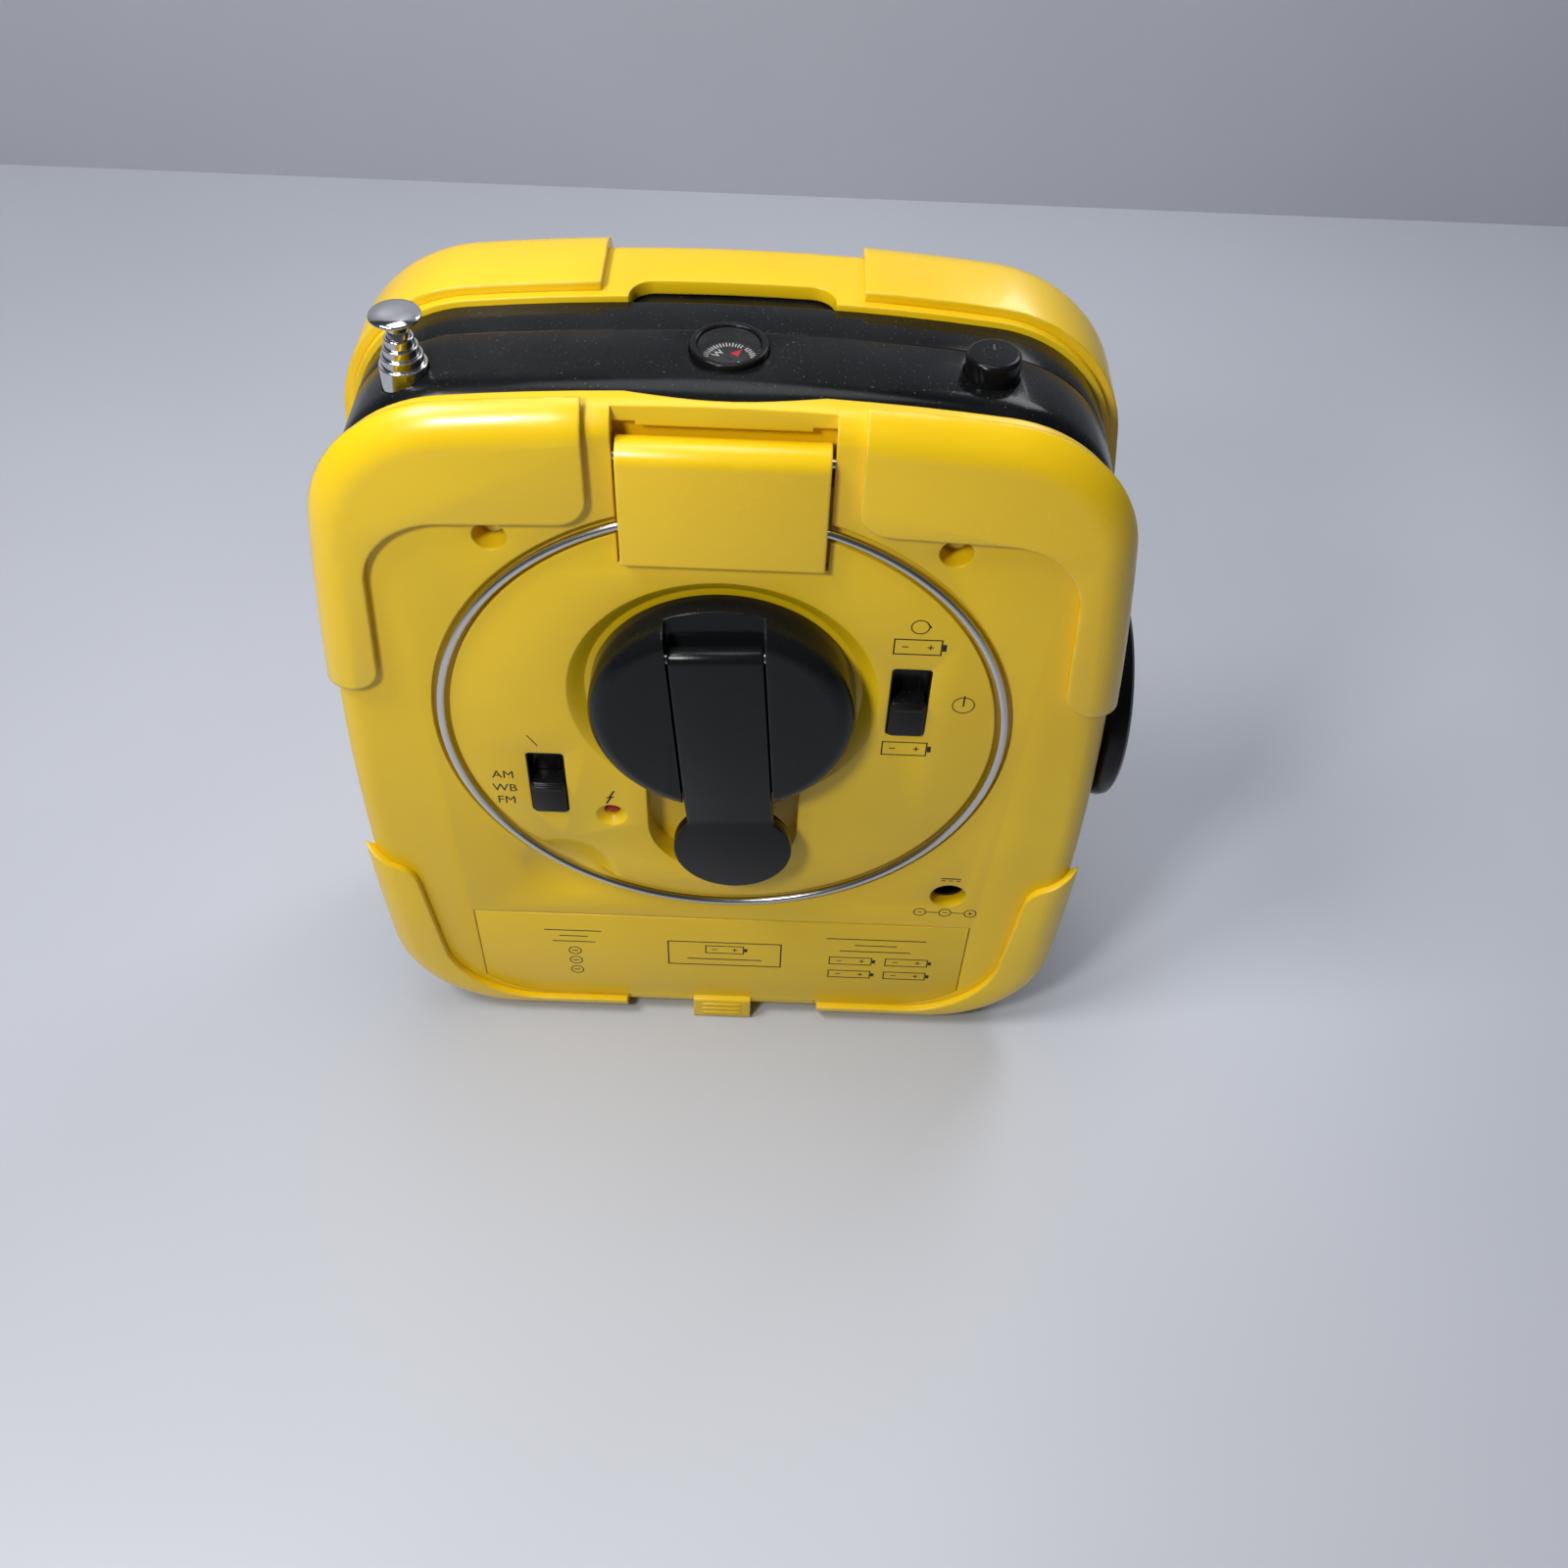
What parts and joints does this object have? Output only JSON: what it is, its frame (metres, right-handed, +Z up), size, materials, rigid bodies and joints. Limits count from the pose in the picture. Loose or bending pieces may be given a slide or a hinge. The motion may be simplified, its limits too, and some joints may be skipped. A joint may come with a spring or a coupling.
{
  "type": "emergency radio",
  "caption": "Yellow hand-cranked emergency radio with corner bumpers, fold-out crank, hanging ring, side torch, top compass and telescopic antenna.",
  "frame": {"origin": "bottom centre of the box round the whole object", "axes": "+Z up, +X to the right when the crank side is looked at, the crank side faces -Y and the speaker side +Y"},
  "size_m": [0.1466, 0.0634, 0.1672],
  "materials": {
    "yellow_plastic": "yellow moulded plastic, satin with glossy edges",
    "bumper_plastic": "yellow moulded corner bumpers",
    "black_plastic": "black moulded plastic, semi-gloss",
    "crank_plastic": "charcoal moulded plastic, smooth",
    "switch_body": "black moulded plastic",
    "screw_steel": "zinc plated",
    "ring_steel": "bright drawn wire",
    "antenna_chrome": "polished plate",
    "gear_plastic": "white acetal",
    "gear_brass": "turned",
    "can_steel": "drawn can",
    "red_lens": "red moulded lens",
    "cell_jacket": "printed jacket",
    "pack_wrap": "shrink wrap",
    "contact_nickel": "nickel plate",
    "dial_black": "printed dial",
    "clear_lens": "clear moulded",
    "reflector": "vacuum metallised",
    "speaker_steel": "black basket and cone",
    "board_green": "green laminate",
    "ferrite": "ground ferrite",
    "display_grey": "grey display glass"
  },
  "bodies": {
    "case": {"rear_shell": "yellow_plastic", "front_shell": "yellow_plastic", "mid_band_rear": "black_plastic", "mid_band_front": "black_plastic", "case_screws": "screw_steel", "bracket_pin": "ring_steel", "generator": "can_steel", "band_switch": "switch_body", "source_switch": "switch_body", "charging_led": "red_lens", "dc_jack": "switch_body", "dry_cells": "cell_jacket", "rechargeable_pack": "pack_wrap", "button_cell": "can_steel", "battery_contacts": "contact_nickel", "compass_housing": "black_plastic", "compass_lens": "clear_lens", "antenna_base": "antenna_chrome", "torch_bezel": "black_plastic", "torch_lens": "clear_lens", "torch_reflector": "reflector", "torch_bulb": "clear_lens", "speaker": "speaker_steel", "speaker_grille": "black_plastic", "dial_window": "clear_lens", "tuning_capacitor": "switch_body", "main_board": "board_green", "ferrite_rod": "ferrite", "clock_display": "display_grey", "rear_bumper_top_left": "bumper_plastic", "front_bumper_top_left": "bumper_plastic", "rear_bumper_top_right": "bumper_plastic", "front_bumper_top_right": "bumper_plastic", "rear_bumper_base_left": "bumper_plastic", "front_bumper_base_left": "bumper_plastic", "rear_bumper_base_right": "bumper_plastic", "front_bumper_base_right": "bumper_plastic"},
    "crank": {"crank_drum": "crank_plastic", "crank_gear": "gear_plastic", "crank_hinge_pin": "ring_steel"},
    "idler": {"idler_gear": "gear_plastic"},
    "rotor": {"generator_pinion": "gear_brass"},
    "arm": {"crank_arm": "crank_plastic"},
    "knob": {"crank_knob": "crank_plastic"},
    "bracket": {"bail_bracket": "yellow_plastic"},
    "ring": {"bail_ring": "ring_steel"},
    "band_selector": {"band_slider": "black_plastic"},
    "source_selector": {"source_slider": "black_plastic"},
    "power": {"power_button": "black_plastic"},
    "set_key": {"clock_set_key": "black_plastic"},
    "mode_key": {"clock_mode_key": "black_plastic"},
    "tuning": {"tuning_knob": "black_plastic", "dial_disc": "dial_black"},
    "volume": {"volume_knob": "black_plastic"},
    "compass": {"compass_card": "dial_black"},
    "antenna_1": {"antenna_section_1": "antenna_chrome"},
    "antenna_2": {"antenna_section_2": "antenna_chrome"},
    "antenna_3": {"antenna_section_3": "antenna_chrome"},
    "antenna_4": {"antenna_tip": "antenna_chrome"},
    "door": {"battery_door": "yellow_plastic"}
  },
  "joints": [
    {"name": "crank_spin", "type": "hinge", "parent": "case", "child": "crank", "pos_m": [-0.0017, -0.0248, 0.1015], "axis": [0, -1, 0], "continuous": true},
    {"name": "idler_spin", "type": "hinge", "parent": "case", "child": "idler", "pos_m": [-0.02333, -0.0118, 0.1073], "axis": [0, -1, 0], "continuous": true},
    {"name": "generator_spin", "type": "hinge", "parent": "case", "child": "rotor", "pos_m": [-0.0248, -0.0098, 0.12403], "axis": [0, -1, 0], "continuous": true},
    {"name": "crank_fold", "type": "hinge", "parent": "crank", "child": "arm", "pos_m": [-0.00262, -0.0296, 0.11667], "axis": [0.9981, 0, 0.061], "range_deg": [-180, 0]},
    {"name": "crank_knob_spin", "type": "hinge", "parent": "arm", "child": "knob", "pos_m": [0.00046, -0.0275, 0.06627], "axis": [0, -1, 0], "continuous": true},
    {"name": "bracket_swing", "type": "hinge", "parent": "case", "child": "bracket", "pos_m": [-0.0017, -0.0235, 0.1525], "axis": [-1, 0, 0], "range_deg": [0, 150]},
    {"name": "ring_swing", "type": "hinge", "parent": "bracket", "child": "ring", "pos_m": [-0.0017, -0.025, 0.14016], "axis": [-1, 0, 0], "range_deg": [0, 85]},
    {"name": "band_slide", "type": "slide", "parent": "case", "child": "band_selector", "axis": [0, 0, 1], "range_m": [0, 0.0075]},
    {"name": "source_slide", "type": "slide", "parent": "case", "child": "source_selector", "axis": [0, 0, 1], "range_m": [0, 0.0075]},
    {"name": "power_press", "type": "slide", "parent": "case", "child": "power", "axis": [0, 0, -1], "range_m": [0, 0.0012], "stiffness_N_per_m": 600},
    {"name": "set_key_press", "type": "slide", "parent": "case", "child": "set_key", "axis": [0, -1, 0], "range_m": [0, 0.0009], "stiffness_N_per_m": 500},
    {"name": "mode_key_press", "type": "slide", "parent": "case", "child": "mode_key", "axis": [0, -1, 0], "range_m": [0, 0.0009], "stiffness_N_per_m": 500},
    {"name": "tuning_turn", "type": "hinge", "parent": "case", "child": "tuning", "pos_m": [0.0313, 0.0252, 0.112], "axis": [0, 1, 0], "range_deg": [-90, 90]},
    {"name": "volume_turn", "type": "hinge", "parent": "case", "child": "volume", "pos_m": [0.0323, 0.0252, 0.076], "axis": [0, 1, 0], "range_deg": [-140, 140]},
    {"name": "compass_spin", "type": "hinge", "parent": "case", "child": "compass", "pos_m": [-0.0017, -0.0063, 0.158], "axis": [0, 0, 1], "continuous": true},
    {"name": "antenna_slide_1", "type": "slide", "parent": "case", "child": "antenna_1", "axis": [0, 0, 1], "range_m": [0, 0.08]},
    {"name": "antenna_slide_2", "type": "slide", "parent": "antenna_1", "child": "antenna_2", "axis": [0, 0, 1], "range_m": [0, 0.08]},
    {"name": "antenna_slide_3", "type": "slide", "parent": "antenna_2", "child": "antenna_3", "axis": [0, 0, 1], "range_m": [0, 0.08]},
    {"name": "antenna_slide_4", "type": "slide", "parent": "antenna_3", "child": "antenna_4", "axis": [0, 0, 1], "range_m": [0, 0.08]},
    {"name": "door_swing", "type": "hinge", "parent": "case", "child": "door", "pos_m": [-0.0017, -0.0248, 0.036], "axis": [-1, 0, 0], "range_deg": [0, 100]}
  ],
  "couplings": [
    {"joint": "idler_spin", "follows": "crank_spin", "ratio": -3},
    {"joint": "generator_spin", "follows": "crank_spin", "ratio": 9}
  ]
}
